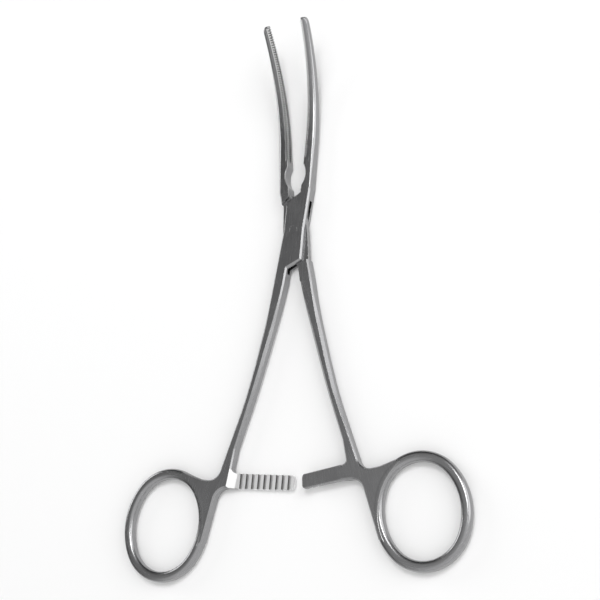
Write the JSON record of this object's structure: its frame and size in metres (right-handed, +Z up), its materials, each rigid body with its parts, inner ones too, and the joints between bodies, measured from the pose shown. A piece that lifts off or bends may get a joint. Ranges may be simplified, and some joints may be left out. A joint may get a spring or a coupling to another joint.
{
  "type": "atraumatic vascular clamp",
  "caption": "Slender ring-handled steel clamp with a box lock, a ratchet and long upward-curved jaws with fine toothed rows.",
  "frame": {"origin": "pivot axis where it meets the underside of the box, which is the plane that the clamp lies on", "axes": "+Y from the pivot towards the jaw tips, +Z up, the way that the jaws curve"},
  "size_m": [0.1098, 0.168, 0.0136],
  "materials": {
    "forged_steel": "satin",
    "rivet_steel": "satin"
  },
  "bodies": {
    "box_side": {"box_half": "forged_steel", "pivot_pin": "rivet_steel"},
    "tongue_side": {"tongue_half": "forged_steel"}
  },
  "joints": [
    {"name": "box_lock", "type": "hinge", "parent": "box_side", "child": "tongue_side", "pos_m": [0, 0, 0.00187], "axis": [0, 0, -1], "range_deg": [-40, 10]}
  ]
}
